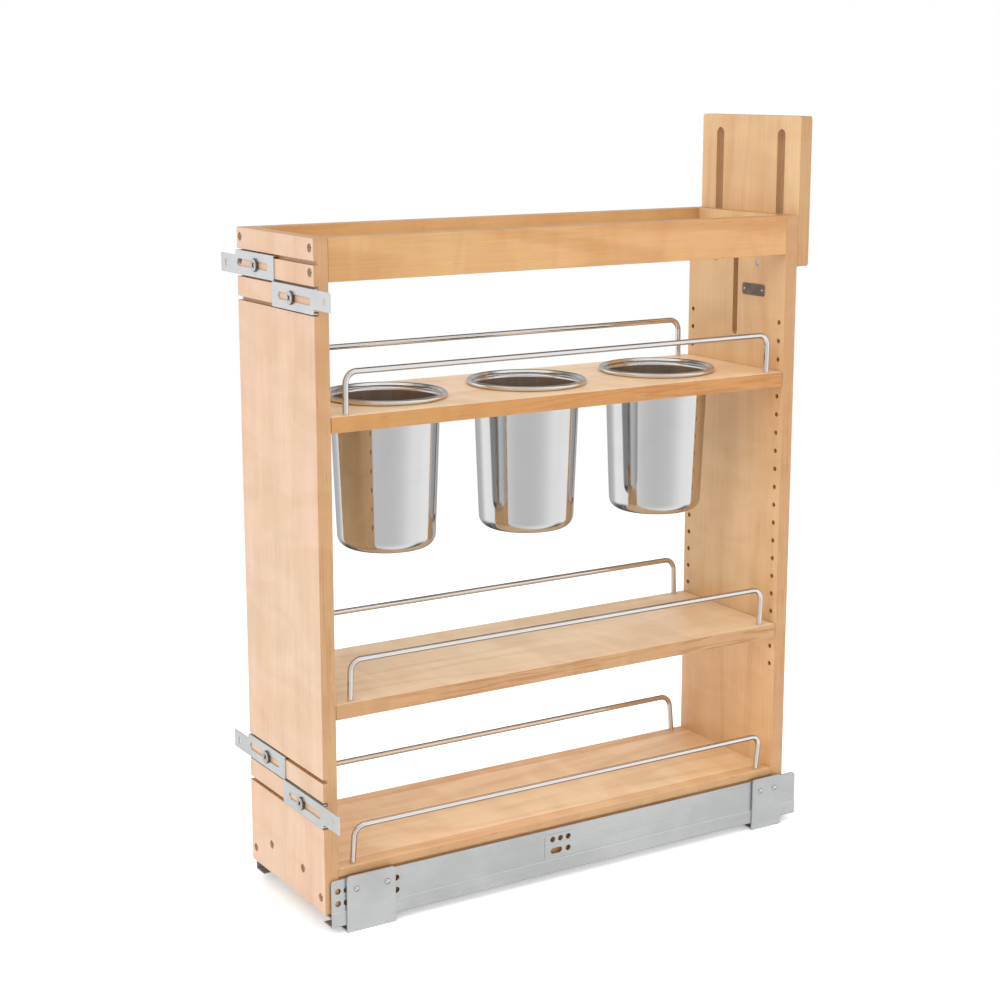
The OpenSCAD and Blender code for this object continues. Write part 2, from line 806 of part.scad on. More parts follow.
module plate_rivets() {
  color(stainless) carcass() for (s = [-1, 1]) translate([plate_c[0] + s * 14.5, 0, plate_c[1]]) {
    translate([0, rear_in - plate_t, 0]) rotate([90, 0, 0]) dome(1.5, 0.8);
    bar_y(0, 0, rear_in - plate_t, rear_in + 4, 0.8);
  }
}

// ---------------------------------------------------------------- nodes

slide_profile(-1);  // slide_profile_left
slide_profile(1);  // slide_profile_right
floor_bracket(-1, front_bracket_y, front_bracket_l, front_rivets, front_floor_pitch);  // floor_bracket_front_left
floor_bracket(1, front_bracket_y, front_bracket_l, front_rivets, front_floor_pitch);  // floor_bracket_front_right
floor_bracket(-1, rear_bracket_y, rear_bracket_l, rear_rivets, rear_floor_pitch);  // floor_bracket_rear_left
floor_bracket(1, rear_bracket_y, rear_bracket_l, rear_rivets, rear_floor_pitch);  // floor_bracket_rear_right
bracket_rivets();
damper(-1);  // damper_left
damper(1);  // damper_right
middle_rail(-1);  // middle_rail_left
middle_rail(1);  // middle_rail_right
rollers(-1);  // rollers_left
rollers(1);  // rollers_right
runner(-1);  // runner_left
runner(1);  // runner_right
runner_screws();
front_panel();
rear_panel();
bottom_shelf();
side_cleat(-1);  // side_cleat_left
side_cleat(1);  // side_cleat_right
cross_cleat(1);  // cross_cleat_front
cross_cleat(-1);  // cross_cleat_rear
tray_rail(-1);  // tray_rail_left
tray_rail(1);  // tray_rail_right
end_screws(1);  // front_screws
end_screws(-1);  // rear_screws
lock(-1);  // lock_left
lock(1);  // lock_right
shelf_pins(utensil_pin_z);  // utensil_shelf_pins
shelf_pins(mid_pin_z);  // mid_shelf_pins
wire_rail(-1, bottom_top, bottom_lean);  // bottom_rail_left
wire_rail(1, bottom_top, bottom_lean);  // bottom_rail_right
name_plate();
plate_rivets();
guide_bolts();
clip_cams();
utensil_shelf();
wire_rail(-1, utensil_top, utensil_lean);  // utensil_rail_left
wire_rail(1, utensil_top, utensil_lean);  // utensil_rail_right
bin(bin_ys[0]);  // bin_front
bin(bin_ys[1]);  // bin_middle
bin(bin_ys[2]);  // bin_rear
mid_shelf();
wire_rail(-1, mid_top, mid_lean);  // mid_rail_left
wire_rail(1, mid_top, mid_lean);  // mid_rail_right
height_board();
clamp_bolt();
clip(0);  // clip_upper_left
clip(1);  // clip_upper_right
clip(2);  // clip_lower_left
clip(3);  // clip_lower_right
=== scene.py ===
"""Looks of a narrow wooden pull-out for a base cabinet: maple boards, steel utensil bins,
chrome wire rails, galvanised slides and door clips, on a plain pale studio floor."""

import json
import math

import bmesh
import bpy
from bpy.props import FloatProperty, FloatVectorProperty, IntProperty, PointerProperty
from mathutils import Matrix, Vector

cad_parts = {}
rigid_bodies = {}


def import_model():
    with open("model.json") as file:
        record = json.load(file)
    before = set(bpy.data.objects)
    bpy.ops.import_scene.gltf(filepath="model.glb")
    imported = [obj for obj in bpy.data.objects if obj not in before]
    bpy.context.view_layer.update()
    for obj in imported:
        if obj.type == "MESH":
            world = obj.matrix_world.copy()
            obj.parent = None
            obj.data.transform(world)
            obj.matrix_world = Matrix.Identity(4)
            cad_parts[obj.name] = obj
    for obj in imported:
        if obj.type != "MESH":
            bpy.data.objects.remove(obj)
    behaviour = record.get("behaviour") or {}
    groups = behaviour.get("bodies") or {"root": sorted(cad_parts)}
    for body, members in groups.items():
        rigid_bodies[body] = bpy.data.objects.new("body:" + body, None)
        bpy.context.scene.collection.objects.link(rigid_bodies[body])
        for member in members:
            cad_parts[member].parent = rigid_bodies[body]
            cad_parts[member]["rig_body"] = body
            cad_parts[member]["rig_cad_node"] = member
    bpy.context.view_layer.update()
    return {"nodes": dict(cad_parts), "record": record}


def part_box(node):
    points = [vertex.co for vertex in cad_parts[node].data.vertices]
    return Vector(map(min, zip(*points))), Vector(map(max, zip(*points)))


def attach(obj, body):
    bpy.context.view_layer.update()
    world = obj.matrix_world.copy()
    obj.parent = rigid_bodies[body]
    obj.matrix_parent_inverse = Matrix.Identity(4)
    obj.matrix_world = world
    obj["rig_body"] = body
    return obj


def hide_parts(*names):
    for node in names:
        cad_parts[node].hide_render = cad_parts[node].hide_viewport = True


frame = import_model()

bl_info = {
    "name": "Cabinet Pull-out Organiser",
    "version": (1, 0, 0),
    "blender": (4, 5, 0),
    "location": "View3D > Sidebar > Pull-out",
    "description": "Builds the boards, bins, rails and metalwork of a base cabinet pull-out",
    "category": "Object",
}

X, Y, Z = 0, 1, 2

# Mesh tolerances: doubles to merge, points in one plane, and the turns of a flat and a sharp edge
MERGE = 0.000004
SAME_PLANE = 0.00002
FLAT = math.radians(0.5)
SHARP = math.radians(50)

# Width of the rounded edge of moulded parts and screw heads
SMALL_EASE = 0.0004

# Each lamp: where it stands, its width and its share of the key light's power
LAMPS = {
    "key": ((1.3, -2.6, 2.6), 2.4, 1.0),
    "fill": ((2.9, 1.0, 1.7), 2.2, 0.40),
    "back": ((-2.2, 2.4, 2.2), 2.0, 0.35),
    "top": ((0.2, 0.1, 3.0), 2.4, 0.30),
}
LAMP_AIM = Vector((0, 0, 0.35))

# The studio walls for polished metal: the bright side's direction, and how bright they are from
# the far side of the object round to it
BRIGHT_SIDE = (0.83, -0.55, 0.10)
WALLS = ((0.0, 0.42), (0.14, 0.52), (0.32, 0.94), (0.62, 0.88), (1.0, 0.58))

# How much brighter the studio walls are for polished metal than the even room light
GLOSS_LIGHT = 1.35

# Tints of bright metal at a glancing angle: small plated parts, chromed wire, polished steel. The wire's
# dark tint paints a shade along its outlines.
BRASSY = (0.70, 0.616, 0.546)
WIRE_RIM = (0.30, 0.264, 0.234)
BIN_RIM = (0.88, 0.87, 0.86)

# Each board: its body, the axis its grain runs along, the axis across its thickness, its tone,
# and how strongly the growth lines show on its faces and on its edges
BOARDS = {
    "front_panel": ("carriage", Z, Y, "face", 0.10, 0.35),
    "rear_panel": ("carriage", Z, Y, "inner", 0.16, 0.30),
    "height_board": ("height_board", Z, Y, "inner", 0.20, 0.25),
    "utensil_shelf": ("utensil_shelf", Y, Z, "shelf", 0.14, 0.45),
    "mid_shelf": ("mid_shelf", Y, Z, "shelf", 0.20, 0.85),
    "bottom_shelf": ("carriage", Y, Z, "shelf", 0.24, 0.60),
    "tray_rail_left": ("carriage", Y, X, "rail", 0.36, 0.40),
    "tray_rail_right": ("carriage", Y, X, "rail", 0.36, 0.40),
    "side_cleat_left": ("carriage", Y, X, "rail", 0.35, 0.35),
    "side_cleat_right": ("carriage", Y, X, "rail", 0.35, 0.35),
    "cross_cleat_front": ("carriage", X, Y, "rail", 0.35, 0.35),
    "cross_cleat_rear": ("carriage", X, Y, "rail", 0.35, 0.35),
}

BINS = ("bin_front", "bin_middle", "bin_rear")

# Each wire rail: the shelf it stands in and the body it moves with
RAILS = {
    "utensil_rail_left": ("utensil_shelf", "utensil_shelf"),
    "utensil_rail_right": ("utensil_shelf", "utensil_shelf"),
    "mid_rail_left": ("mid_shelf", "mid_shelf"),
    "mid_rail_right": ("mid_shelf", "mid_shelf"),
    "bottom_rail_left": ("bottom_shelf", "carriage"),
    "bottom_rail_right": ("bottom_shelf", "carriage"),
}

PROFILES = ("slide_profile_left", "slide_profile_right")
INNER_SLIDES = ("middle_rail_left", "middle_rail_right", "runner_left", "runner_right")
BRACKETS = (
    "floor_bracket_front_left",
    "floor_bracket_front_right",
    "floor_bracket_rear_left",
    "floor_bracket_rear_right",
)
CLIPS = ("clip_upper_left", "clip_upper_right", "clip_lower_left", "clip_lower_right")
PLASTICS = ("damper_left", "damper_right", "lock_left", "lock_right")
ZINC_FIXINGS = (
    "front_screws",
    "rear_screws",
    "runner_screws",
    "utensil_shelf_pins",
    "mid_shelf_pins",
    "guide_bolts",
    "clamp_bolt",
)
ROLLERS = ("rollers_left", "rollers_right")


# ---------------------------------------------------------------- settings


class PulloutWood(bpy.types.PropertyGroup):
    """Tones and detail of the maple."""

    face: FloatVectorProperty(
        name="Front face",
        description="Veneer of the front panel",
        subtype="COLOR",
        size=3,
        min=0,
        max=1,
        default=(0.715, 0.507, 0.354),
    )
    inner: FloatVectorProperty(
        name="Inner face",
        description="Veneer of the rear panel and the height board",
        subtype="COLOR",
        size=3,
        min=0,
        max=1,
        default=(0.74, 0.50, 0.262),
    )
    shelf: FloatVectorProperty(
        name="Shelf face",
        description="Veneer of the shelves",
        subtype="COLOR",
        size=3,
        min=0,
        max=1,
        default=(0.915, 0.70, 0.458),
    )
    rail: FloatVectorProperty(
        name="Tray rails",
        description="Solid maple of the tray rails and cleats",
        subtype="COLOR",
        size=3,
        min=0,
        max=1,
        default=(0.615, 0.355, 0.145),
    )
    edge: FloatVectorProperty(
        name="Edges",
        description="Solid edges of the boards",
        subtype="COLOR",
        size=3,
        min=0,
        max=1,
        default=(0.52, 0.305, 0.142),
    )
    warm_edge: FloatVectorProperty(
        name="Utensil shelf edge",
        description="Solid edge of the utensil shelf",
        subtype="COLOR",
        size=3,
        min=0,
        max=1,
        default=(0.54, 0.27, 0.082),
    )
    ease: FloatProperty(
        name="Eased edge",
        description="Width of the sanded edge",
        unit="LENGTH",
        min=0.0002,
        max=0.002,
        default=0.0007,
    )
    band_from: FloatProperty(
        name="Edge strip",
        description="Distance from the middle to the joint of the bottom shelf's solid edge strips",
        unit="LENGTH",
        min=0.05,
        max=0.08,
        default=0.0665,
    )
    fibre_bump: FloatProperty(
        name="Fibre relief",
        description="Strength of the fine fibre relief",
        min=0,
        max=1,
        default=0.16,
    )


class PulloutMetal(bpy.types.PropertyGroup):
    """Colours, finish and sizes of the metal parts."""

    zinc: FloatVectorProperty(
        name="Galvanised steel",
        description="Colour of the slides, brackets and clips",
        subtype="COLOR",
        size=3,
        min=0,
        max=1,
        default=(0.475, 0.483, 0.485),
    )
    stainless: FloatVectorProperty(
        name="Polished steel",
        description="Colour of the bins outside",
        subtype="COLOR",
        size=3,
        min=0,
        max=1,
        default=(0.60, 0.598, 0.598),
    )
    # The bins' inside is given a dark brown: painted shade and a painted reflection of the wood, over satin
    # steel.
    satin: FloatVectorProperty(
        name="Satin steel",
        description="Colour of the bins inside",
        subtype="COLOR",
        size=3,
        min=0,
        max=1,
        default=(0.34, 0.255, 0.19),
    )
    polish: FloatProperty(
        name="Bin polish",
        description="Roughness of the bins outside",
        subtype="FACTOR",
        min=0.02,
        max=0.5,
        default=0.075,
    )
    bin_steps: IntProperty(
        name="Bin steps",
        description="Sides of a bin's round",
        min=64,
        max=256,
        default=128,
    )
    wire_radius: FloatProperty(
        name="Wire radius",
        description="Radius of the rail wire",
        unit="LENGTH",
        min=0.002,
        max=0.0035,
        default=0.00275,
    )
    wire_sides: IntProperty(
        name="Wire sides",
        description="Sides of the rail wire's round",
        min=12,
        max=48,
        default=24,
    )
    sheet_ease: FloatProperty(
        name="Sheet edge",
        description="Width of the rounded edge of the sheet steel",
        unit="LENGTH",
        min=0.0001,
        max=0.0005,
        default=0.00025,
    )


class PulloutStage(bpy.types.PropertyGroup):
    """Camera and light."""

    camera_place: FloatVectorProperty(
        name="Camera place",
        description="Where the camera stands",
        subtype="XYZ",
        unit="LENGTH",
        size=3,
        default=(1.6431, -1.0581, 0.8037),
    )
    camera_turn: FloatProperty(
        name="Camera turn",
        description="Turn of the camera about the upright, from looking along +Y",
        subtype="ANGLE",
        default=math.radians(58.23),
    )
    camera_drop: FloatProperty(
        name="Camera drop",
        description="How far the camera looks down",
        subtype="ANGLE",
        default=math.radians(11.42),
    )
    camera_lens: FloatProperty(
        name="Camera lens",
        description="Focal length in millimetres",
        min=20,
        max=200,
        default=70.14,
    )
    camera_shift: FloatProperty(
        name="Camera shift",
        description="Upright shift of the lens",
        min=-0.1,
        max=0.1,
        default=-0.03,
    )
    floor: FloatVectorProperty(
        name="Floor",
        description="Colour of the studio floor",
        subtype="COLOR",
        size=3,
        min=0,
        max=1,
        default=(0.98, 0.98, 0.98),
    )
    room_light: FloatProperty(
        name="Room light",
        description="Strength of the even light from all round",
        min=0,
        max=3,
        default=0.86,
    )
    key_power: FloatProperty(
        name="Key light",
        description="Power of the large soft lamp",
        unit="POWER",
        min=0,
        max=500,
        default=38,
    )


# ---------------------------------------------------------------- materials


def put(tree, kind, values=None, **settings):
    """Add a node, set its options and the values of its unlinked inputs."""
    made = tree.nodes.new(kind)
    for name, value in settings.items():
        setattr(made, name, value)
    for name, value in (values or {}).items():
        made.inputs[name].default_value = value
    return made


def sums(tree, operation, first, second=None, clamp=False):
    """Arithmetic on two sockets or numbers; gives the result's socket."""
    made = put(tree, "ShaderNodeMath", operation=operation, use_clamp=clamp)
    for socket, value in zip(made.inputs, (first, second)):
        if value is None:
            continue
        if isinstance(value, bpy.types.NodeSocket):
            tree.links.new(value, socket)
        else:
            socket.default_value = value
    return made.outputs[0]


def spread(tree, value, low, high, to_low=0.0, to_high=1.0):
    """Map a value smoothly from one range to another."""
    made = put(
        tree,
        "ShaderNodeMapRange",
        {"From Min": low, "From Max": high, "To Min": to_low, "To Max": to_high},
        interpolation_type="SMOOTHSTEP",
    )
    tree.links.new(value, made.inputs["Value"])
    return made.outputs[0]


def blended(tree, factor, first, second, how="MIX"):
    """Mix two colours, each a socket or a colour."""
    made = put(tree, "ShaderNodeMix", data_type="RGBA", blend_type=how)
    if isinstance(factor, bpy.types.NodeSocket):
        tree.links.new(factor, made.inputs[0])
    else:
        made.inputs[0].default_value = factor
    for socket, value in ((made.inputs[6], first), (made.inputs[7], second)):
        if isinstance(value, bpy.types.NodeSocket):
            tree.links.new(value, socket)
        else:
            socket.default_value = (*value[:3], 1.0)
    return made.outputs[2]


def stretched(tree, coords, scale, shift=(0, 0, 0)):
    """Coordinates scaled along each axis, so a pattern runs long or short."""
    made = put(tree, "ShaderNodeMapping", {"Scale": scale, "Location": shift})
    tree.links.new(coords, made.inputs["Vector"])
    return made.outputs[0]


def noise(tree, coords, detail=4.0, rough=0.55, twist=0.0, scale=1.0):
    """Soft noise between 0 and 1."""
    made = put(
        tree,
        "ShaderNodeTexNoise",
        {"Scale": scale, "Detail": detail, "Roughness": rough, "Distortion": twist},
    )
    tree.links.new(coords, made.inputs["Vector"])
    return made.outputs[0]


def relief(tree, shader, height, strength, depth):
    """Bump the surface by a height pattern."""
    made = put(tree, "ShaderNodeBump", {"Strength": strength, "Distance": depth})
    tree.links.new(height, made.inputs["Height"])
    tree.links.new(made.outputs[0], shader.inputs["Normal"])


def new_material(name):
    """A material with its shader and object coordinates."""
    made = bpy.data.materials.new(name)
    made.use_nodes = True
    tree = made.node_tree
    shader = tree.nodes["Principled BSDF"]
    coords = tree.nodes.new("ShaderNodeTexCoord")
    return made, tree, shader, coords


def facing(tree, coords):
    """How much a face looks along each axis: three values between 0 and 1."""
    split = tree.nodes.new("ShaderNodeSeparateXYZ")
    tree.links.new(coords.outputs["Normal"], split.inputs[0])
    return [sums(tree, "ABSOLUTE", split.outputs[axis]) for axis in range(3)]


def along(grain, long, across):
    """A scale that is long on the grain's axis and short across it."""
    return tuple(long if axis == grain else across for axis in range(3))


def maple(name, grain, thick, tones, seed, figure, banded=False):
    """Lacquered maple: veneer on the two broad faces, warmer solid wood on the edges, and a painted
    highlight on the eased corners.

    tones are the colours of the face that looks down its axis, the other face and the edges.
    figure is the strength of the growth lines on the faces and on the edges.
    """
    wood = bpy.context.scene.pullout_wood
    face, back, edge = tones
    made, tree, shader, coords = new_material(name)
    place = coords.outputs["Object"]
    shift = (seed * 1.37, seed * 2.11, seed * 0.73)

    looks = facing(tree, coords)
    on_face = spread(tree, looks[thick], 0.55, 0.85)
    on_edge = sums(tree, "SUBTRACT", 1.0, on_face)
    # Painted highlight: faces that turn between the axes, the eased corners, are lightened as if they
    # caught the light.
    at_corner = sums(tree, "MAXIMUM", looks[0], sums(tree, "MAXIMUM", looks[1], looks[2]))
    highlit_edge = spread(tree, at_corner, 0.985, 0.80)

    broad = noise(tree, stretched(tree, place, along(grain, 1.2, 7.5), shift), 2.0, 0.45, 0.5)
    broad_lines = spread(tree, sums(tree, "SINE", sums(tree, "MULTIPLY", broad, 48.0)), 0.0, 1.0)
    tight = noise(tree, stretched(tree, place, along(grain, 4.0, 72.0), shift), 4.0, 0.5, 0.3)
    tight_lines = spread(tree, sums(tree, "SINE", sums(tree, "MULTIPLY", tight, 46.0)), -0.1, 1.0)
    stretches = spread(tree, noise(tree, stretched(tree, place, (4.0, 4.0, 4.0), shift), 1.0), 0.40, 0.58)
    tight_lines = sums(tree, "MULTIPLY", tight_lines, stretches)
    streaks = noise(tree, stretched(tree, place, along(grain, 0.8, 34.0), shift), 3.0, 0.6)
    flame = noise(tree, stretched(tree, place, along(grain, 26.0, 11.0), shift), 2.0, 0.5, 0.8)
    fibres = noise(tree, stretched(tree, place, along(grain, 16.0, 820.0), shift), 5.0, 0.6)
    flecks = noise(tree, stretched(tree, place, along(grain, 60.0, 760.0), shift), 1.0, 0.4)
    specks = spread(tree, flecks, 0.68, 0.78)
    clouds = noise(tree, stretched(tree, place, along(grain, 3.0, 7.5), shift), 2.0, 0.5)

    shade = sums(tree, "MULTIPLY", sums(tree, "MULTIPLY", broad_lines, on_face), figure[0])
    edge_lines = sums(tree, "MULTIPLY", sums(tree, "MULTIPLY", tight_lines, on_edge), figure[1])
    shade = sums(tree, "ADD", shade, edge_lines)
    shade = sums(tree, "ADD", shade, spread(tree, streaks, 0.32, 0.72, 0.0, 0.24))
    shade = sums(tree, "ADD", shade, spread(tree, flame, 0.35, 0.65, 0.0, 0.22))
    shade = sums(tree, "ADD", shade, spread(tree, fibres, 0.25, 0.75, 0.0, 0.26))
    speck_share = sums(tree, "ADD", 0.30, sums(tree, "MULTIPLY", on_edge, 0.45))
    shade = sums(tree, "ADD", shade, sums(tree, "MULTIPLY", specks, speck_share), clamp=True)

    turned = tree.nodes.new("ShaderNodeSeparateXYZ")
    tree.links.new(coords.outputs["Normal"], turned.inputs[0])
    veneer = blended(tree, spread(tree, turned.outputs[thick], -0.3, 0.3), face, back)
    tone = blended(tree, on_face, edge, veneer)
    rosy = blended(tree, 1.0, tone, (1.03, 0.975, 0.965), "MULTIPLY")
    tone = blended(tree, spread(tree, clouds, 0.38, 0.62), tone, rosy)
    pale = blended(tree, 1.0, tone, (1.07, 1.09, 1.12), "MULTIPLY")
    deep = blended(tree, 1.0, tone, (0.80, 0.68, 0.53), "MULTIPLY")
    colour = blended(tree, shade, pale, deep)
    if banded:
        colour = edge_band(tree, place, colour, on_face)
    # The lighter tone of the painted highlight, laid on the eased corners.
    edge_highlight = blended(tree, 1.0, colour, (1.10, 1.12, 1.16), "MULTIPLY")
    colour = blended(tree, sums(tree, "MULTIPLY", highlit_edge, 0.55), colour, edge_highlight)
    tree.links.new(colour, shader.inputs["Base Color"])

    roughness = spread(tree, fibres, 0.2, 0.8, 0.40, 0.55)
    tree.links.new(roughness, shader.inputs["Roughness"])
    height = sums(tree, "SUBTRACT", fibres, sums(tree, "MULTIPLY", specks, 0.8))
    relief(tree, shader, height, wood.fibre_bump, 0.0003)
    shader.inputs["IOR"].default_value = 1.46
    shader.inputs["Coat Weight"].default_value = 0.32
    shader.inputs["Coat Roughness"].default_value = 0.20
    return made


def edge_band(tree, place, colour, on_face):
    """Darken the solid strips glued along a shelf's two long edges, with a fine joint line."""
    wood = bpy.context.scene.pullout_wood
    split = tree.nodes.new("ShaderNodeSeparateXYZ")
    tree.links.new(place, split.inputs[0])
    off = sums(tree, "ABSOLUTE", split.outputs["X"])
    strip = sums(tree, "MULTIPLY", spread(tree, off, wood.band_from, wood.band_from + 0.0002), on_face)
    from_joint = sums(tree, "ABSOLUTE", sums(tree, "SUBTRACT", off, wood.band_from))
    joint = sums(tree, "MULTIPLY", spread(tree, from_joint, 0.0006, 0.0001), on_face)
    solid = blended(tree, 1.0, colour, (0.88, 0.76, 0.62), "MULTIPLY")
    seam = blended(tree, 1.0, colour, (0.62, 0.47, 0.33), "MULTIPLY")
    banded = blended(tree, strip, colour, solid)
    return blended(tree, sums(tree, "MULTIPLY", joint, 0.7), banded, seam)


def zinc_sheet(name, colour, rough, spangle=0.5, lines=0.25):
    """Galvanised sheet steel: faint rolling lines, spangle, smudges, and a painted highlight on its edges
    and bends.
    """
    made, tree, shader, coords = new_material(name)
    place = coords.outputs["Object"]
    looks = facing(tree, coords)
    # Painted highlight: the rounded edges and bends are lightened as if they caught the light.
    at_corner = sums(tree, "MAXIMUM", looks[0], sums(tree, "MAXIMUM", looks[1], looks[2]))
    highlit_edge = spread(tree, at_corner, 0.98, 0.78)
    rolled = noise(tree, stretched(tree, place, (900.0, 7.0, 900.0)), 4.0, 0.6)
    smudge = noise(tree, stretched(tree, place, (16.0, 16.0, 16.0)), 3.0, 0.55)
    crystals = put(tree, "ShaderNodeTexVoronoi", {"Scale": 260.0, "Randomness": 1.0})
    tree.links.new(place, crystals.inputs["Vector"])
    flake = sums(tree, "MULTIPLY", crystals.outputs["Color"], spangle)
    shade = sums(tree, "MULTIPLY", flake, 0.22)
    shade = sums(tree, "ADD", shade, spread(tree, rolled, 0.25, 0.75, 0.0, lines))
    shade = sums(tree, "ADD", shade, spread(tree, smudge, 0.35, 0.7, 0.0, 0.45), clamp=True)
    light = tuple(min(1.0, part * 1.08) for part in colour)
    dark = tuple(part * 0.84 for part in colour)
    tint = blended(tree, shade, light, dark)
    # Lighter tone of the painted highlight on the edges and bends.
    bright = tuple(min(1.0, part * 1.5) for part in colour)
    tint = blended(tree, sums(tree, "MULTIPLY", highlit_edge, 0.8), tint, bright)
    tree.links.new(tint, shader.inputs["Base Color"])
    roughness = spread(tree, sums(tree, "ADD", rolled, smudge), 0.6, 1.4, rough - 0.07, rough + 0.09)
    tree.links.new(roughness, shader.inputs["Roughness"])
    height = sums(tree, "MULTIPLY", rolled, 2.0 * lines)
    height = sums(tree, "ADD", height, sums(tree, "MULTIPLY", flake, 0.3))
    relief(tree, shader, height, 0.10, 0.0002)
    shader.inputs["Metallic"].default_value = 0.65
    return made


def bright_metal(name, colour, rough, lines=(40.0, 40.0, 40.0), bump=0.02, rim=BRASSY, head_axis=None):
    """Polished or plated metal with faint polishing marks and fingerprints.

    rim is the metal's tint at a glancing angle. A head that looks along head_axis gets a painted shade
    round its sides.
    """
    made, tree, shader, coords = new_material(name)
    place = coords.outputs["Object"]
    marks = noise(tree, stretched(tree, place, lines), 4.0, 0.6)
    prints = noise(tree, stretched(tree, place, (22.0, 22.0, 22.0)), 3.0, 0.5, 0.4)
    shade = spread(tree, marks, 0.25, 0.75, 0.0, 0.5)
    shade = sums(tree, "ADD", shade, spread(tree, prints, 0.4, 0.75, 0.0, 0.4))
    light = tuple(min(1.0, part * 1.03) for part in colour)
    dark = tuple(part * 0.93 for part in colour)
    tint = blended(tree, shade, light, dark)
    if head_axis is not None:
        # Painted shade: the sides of a head are darkened where they turn away from its axis.
        painted_side_shade = spread(tree, facing(tree, coords)[head_axis], 0.80, 0.45, 0.0, 0.9)
        tint = blended(tree, painted_side_shade, tint, tuple(part * 0.22 for part in colour))
    tree.links.new(tint, shader.inputs["Base Color"])
    roughness = spread(tree, sums(tree, "ADD", marks, prints), 0.6, 1.5, rough * 0.75, rough * 1.5)
    tree.links.new(roughness, shader.inputs["Roughness"])
    relief(tree, shader, marks, bump, 0.0001)
    shader.inputs["Metallic"].default_value = 1.0
    shader.inputs["Specular Tint"].default_value = (*rim, 1.0)
    return made


def satin_steel(name, colour):
    """Brushed steel of the bins' inside, with upright brush lines and broad soft bands of painted
    reflection.
    """
    made, tree, shader, coords = new_material(name)
    place = coords.outputs["Object"]
    brush = noise(tree, stretched(tree, place, (420.0, 420.0, 6.0)), 4.0, 0.65)
    # Painted reflection: broad upright bands, as the round wall would mirror its surroundings.
    reflected_bands = noise(tree, stretched(tree, place, (38.0, 38.0, 1.2)), 2.0, 0.5)
    shade = spread(tree, brush, 0.3, 0.7, 0.0, 0.45)
    shade = sums(tree, "ADD", shade, spread(tree, reflected_bands, 0.35, 0.65, 0.0, 0.5))
    light = tuple(min(1.0, part * 1.12) for part in colour)
    dark = tuple(part * 0.72 for part in colour)
    tree.links.new(blended(tree, shade, light, dark), shader.inputs["Base Color"])
    roughness = spread(tree, brush, 0.25, 0.75, 0.32, 0.48)
    tree.links.new(roughness, shader.inputs["Roughness"])
    relief(tree, shader, brush, 0.08, 0.0001)
    shader.inputs["Metallic"].default_value = 0.7
    return made


def moulded(name, colour, rough, grain=900.0):
    """Moulded plastic with a fine spark-eroded texture."""
    made, tree, shader, coords = new_material(name)
    place = coords.outputs["Object"]
    fine = noise(tree, place, 3.0, 0.6, 0.0, grain)
    large = noise(tree, place, 2.0, 0.5, 0.0, 30.0)
    shade = spread(tree, fine, 0.3, 0.7, 0.0, 0.4)
    shade = sums(tree, "ADD", shade, spread(tree, large, 0.35, 0.65, 0.0, 0.5))
    light = tuple(min(1.0, part * 1.12) for part in colour)
    dark = tuple(part * 0.82 for part in colour)
    tree.links.new(blended(tree, shade, light, dark), shader.inputs["Base Color"])
    tree.links.new(spread(tree, fine, 0.2, 0.8, rough - 0.08, rough + 0.10), shader.inputs["Roughness"])
    relief(tree, shader, fine, 0.25, 0.0002)
    return made


def plate_paint(name):
    """Dark bronze enamel of the blank name plate, with a painted highlight on the sloped faces of its
    raised rim and on its sides.
    """
    made, tree, shader, coords = new_material(name)
    place = coords.outputs["Object"]
    looks = facing(tree, coords)
    # Painted highlight: faces that turn away from the plate's front are lightened as if they caught the
    # light.
    edge_highlight = spread(tree, looks[1], 0.97, 0.70)
    fine = noise(tree, place, 4.0, 0.6, 0.0, 700.0)
    large = noise(tree, place, 2.0, 0.5, 0.0, 120.0)
    paint = blended(tree, spread(tree, large, 0.35, 0.7), (0.115, 0.082, 0.066), (0.165, 0.118, 0.095))
    paint = blended(tree, spread(tree, fine, 0.5, 0.8, 0.0, 0.4), paint, (0.21, 0.16, 0.13))
    paint = blended(tree, edge_highlight, paint, (0.42, 0.34, 0.28))
    tree.links.new(paint, shader.inputs["Base Color"])
    tree.links.new(spread(tree, fine, 0.2, 0.8, 0.30, 0.46), shader.inputs["Roughness"])
    relief(tree, shader, fine, 0.2, 0.0001)
    shader.inputs["Metallic"].default_value = 0.55
    return made


def floor_finish(name, colour):
    """Matt studio paper with the faintest tooth, which fades out well away from the object."""
    made, tree, shader, coords = new_material(name)
    tooth = noise(tree, coords.outputs["Object"], 3.0, 0.6, 0.0, 260.0)
    dim = tuple(part * 0.985 for part in colour)
    tree.links.new(blended(tree, tooth, colour, dim), shader.inputs["Base Color"])
    shader.inputs["Roughness"].default_value = 0.9
    shader.inputs["Specular IOR Level"].default_value = 0.1
    shader.inputs["Emission Color"].default_value = (1.0, 1.0, 1.0, 1.0)
    shader.inputs["Emission Strength"].default_value = 0.30
    away = put(tree, "ShaderNodeVectorMath", operation="LENGTH")
    tree.links.new(coords.outputs["Object"], away.inputs[0])
    gone = spread(tree, away.outputs["Value"], 0.75, 2.2)
    clear = tree.nodes.new("ShaderNodeBsdfTransparent")
    fade = tree.nodes.new("ShaderNodeMixShader")
    tree.links.new(gone, fade.inputs[0])
    tree.links.new(shader.outputs[0], fade.inputs[1])
    tree.links.new(clear.outputs[0], fade.inputs[2])
    tree.links.new(fade.outputs[0], tree.nodes["Material Output"].inputs["Surface"])
    return made


# ---------------------------------------------------------------- modelling


def clear_selection():
    """Leave edit mode and select nothing."""
    if bpy.context.object and bpy.context.object.mode != "OBJECT":
        bpy.ops.object.mode_set(mode="OBJECT")
    bpy.ops.object.select_all(action="DESELECT")


def pick(piece):
    """Select one object alone and make it active."""
    clear_selection()
    piece.select_set(True)
    bpy.context.view_layer.objects.active = piece


